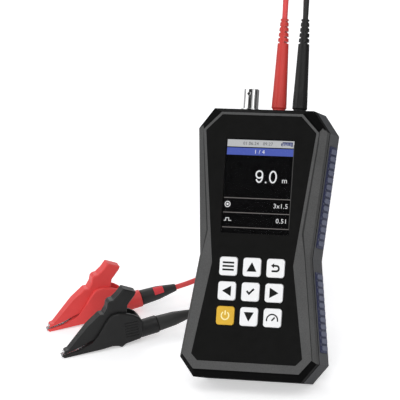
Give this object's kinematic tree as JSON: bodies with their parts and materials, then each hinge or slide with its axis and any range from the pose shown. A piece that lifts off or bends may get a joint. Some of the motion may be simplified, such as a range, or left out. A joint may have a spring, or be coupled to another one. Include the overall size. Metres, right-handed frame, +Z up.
{
  "type": "cable length meter",
  "caption": "Handheld cable length meter with an hourglass case, colour display, square keys, coaxial jack, tilt stand and plugged-in clip leads.",
  "frame": {"origin": "on the surface that the meter stands on, under the middle of the meter's box without its leads", "axes": "+Z up, +X to the right of someone facing the display, +Y away from them; the face looks towards -Y and leans back 30 degrees"},
  "size_m": [0.2081, 0.2264, 0.2393],
  "materials": {
    "case_gray": "fine grain",
    "panel_black": "satin film",
    "lens_clear": "clear",
    "display_dark": "matt",
    "board_green": "lacquered",
    "key_white": "matt",
    "key_amber": "matt",
    "grip_blue": "matt",
    "screw_steel": "plated",
    "jack_chrome": "bright nickel",
    "contact_brass": "plated",
    "insulator_white": "matt",
    "battery_gray": "film",
    "plastic_red": "semi-gloss",
    "plastic_black": "semi-gloss",
    "plug_gray": "matt",
    "lead_red": "soft",
    "lead_black": "soft"
  },
  "bodies": {
    "meter": {"front_shell": "case_gray", "rear_shell": "case_gray", "battery_cover": "case_gray", "face_panel": "panel_black", "display_lens": "lens_clear", "display_module": "display_dark", "main_board": "board_green", "upper_left_grip": "grip_blue", "upper_right_grip": "grip_blue", "lower_left_grip": "grip_blue", "lower_right_grip": "grip_blue", "case_screws": "screw_steel", "board_screws": "screw_steel", "cover_screw": "screw_steel", "stand_pin": "screw_steel", "snap_domes": "screw_steel", "red_clip_pin": "screw_steel", "black_clip_pin": "screw_steel", "red_clip_spring": "screw_steel", "black_clip_spring": "screw_steel", "bnc_jack": "jack_chrome", "red_lower_contact": "jack_chrome", "black_lower_contact": "jack_chrome", "bnc_contact": "contact_brass", "bnc_insulator": "insulator_white", "battery_pack": "battery_gray", "red_socket": "plastic_red", "red_meter_plug": "plastic_red", "red_clip_body": "plastic_red", "black_socket": "plastic_black", "black_meter_plug": "plastic_black", "black_clip_body": "plastic_black", "red_clip_plug": "plug_gray", "black_clip_plug": "plug_gray", "red_lead": "lead_red", "black_lead": "lead_black"},
    "stand": {"stand": "case_gray"},
    "red_jaw": {"red_clip_jaw": "plastic_red", "red_upper_contact": "jack_chrome"},
    "black_jaw": {"black_clip_jaw": "plastic_black", "black_upper_contact": "jack_chrome"},
    "menu_key": {"menu_key": "key_white"},
    "up_key": {"up_key": "key_white"},
    "back_key": {"back_key": "key_white"},
    "left_key": {"left_key": "key_white"},
    "enter_key": {"enter_key": "key_white"},
    "right_key": {"right_key": "key_white"},
    "down_key": {"down_key": "key_white"},
    "measure_key": {"measure_key": "key_white"},
    "power_key": {"power_key": "key_amber"}
  },
  "joints": [
    {"name": "menu_key_press", "type": "slide", "parent": "meter", "child": "menu_key", "axis": [0, 0.866, -0.5], "range_m": [0, 0.0005], "stiffness_N_per_m": 500},
    {"name": "up_key_press", "type": "slide", "parent": "meter", "child": "up_key", "axis": [0, 0.866, -0.5], "range_m": [0, 0.0005], "stiffness_N_per_m": 500},
    {"name": "back_key_press", "type": "slide", "parent": "meter", "child": "back_key", "axis": [0, 0.866, -0.5], "range_m": [0, 0.0005], "stiffness_N_per_m": 500},
    {"name": "left_key_press", "type": "slide", "parent": "meter", "child": "left_key", "axis": [0, 0.866, -0.5], "range_m": [0, 0.0005], "stiffness_N_per_m": 500},
    {"name": "enter_key_press", "type": "slide", "parent": "meter", "child": "enter_key", "axis": [0, 0.866, -0.5], "range_m": [0, 0.0005], "stiffness_N_per_m": 500},
    {"name": "right_key_press", "type": "slide", "parent": "meter", "child": "right_key", "axis": [0, 0.866, -0.5], "range_m": [0, 0.0005], "stiffness_N_per_m": 500},
    {"name": "down_key_press", "type": "slide", "parent": "meter", "child": "down_key", "axis": [0, 0.866, -0.5], "range_m": [0, 0.0005], "stiffness_N_per_m": 500},
    {"name": "measure_key_press", "type": "slide", "parent": "meter", "child": "measure_key", "axis": [0, 0.866, -0.5], "range_m": [0, 0.0005], "stiffness_N_per_m": 500},
    {"name": "power_key_press", "type": "slide", "parent": "meter", "child": "power_key", "axis": [0, 0.866, -0.5], "range_m": [0, 0.0005], "stiffness_N_per_m": 500},
    {"name": "stand_hinge", "type": "hinge", "parent": "meter", "child": "stand", "pos_m": [0, 0.00822, 0.06755], "axis": [-1, 0, 0], "range_deg": [0, 45]},
    {"name": "red_jaw_hinge", "type": "hinge", "parent": "meter", "child": "red_jaw", "pos_m": [-0.13235, 0.04115, 0.0145], "axis": [-0.5793, 0.8151, 0], "range_deg": [0, 25], "stiffness_Nm_per_rad": 0.4, "springref_deg": -5.73, "deforming": ["red_clip_spring"]},
    {"name": "black_jaw_hinge", "type": "hinge", "parent": "meter", "child": "black_jaw", "pos_m": [-0.10885, 0.00655, 0.0145], "axis": [-0.5793, 0.8151, 0], "range_deg": [0, 25], "stiffness_Nm_per_rad": 0.4, "springref_deg": -5.73, "deforming": ["black_clip_spring"]}
  ]
}
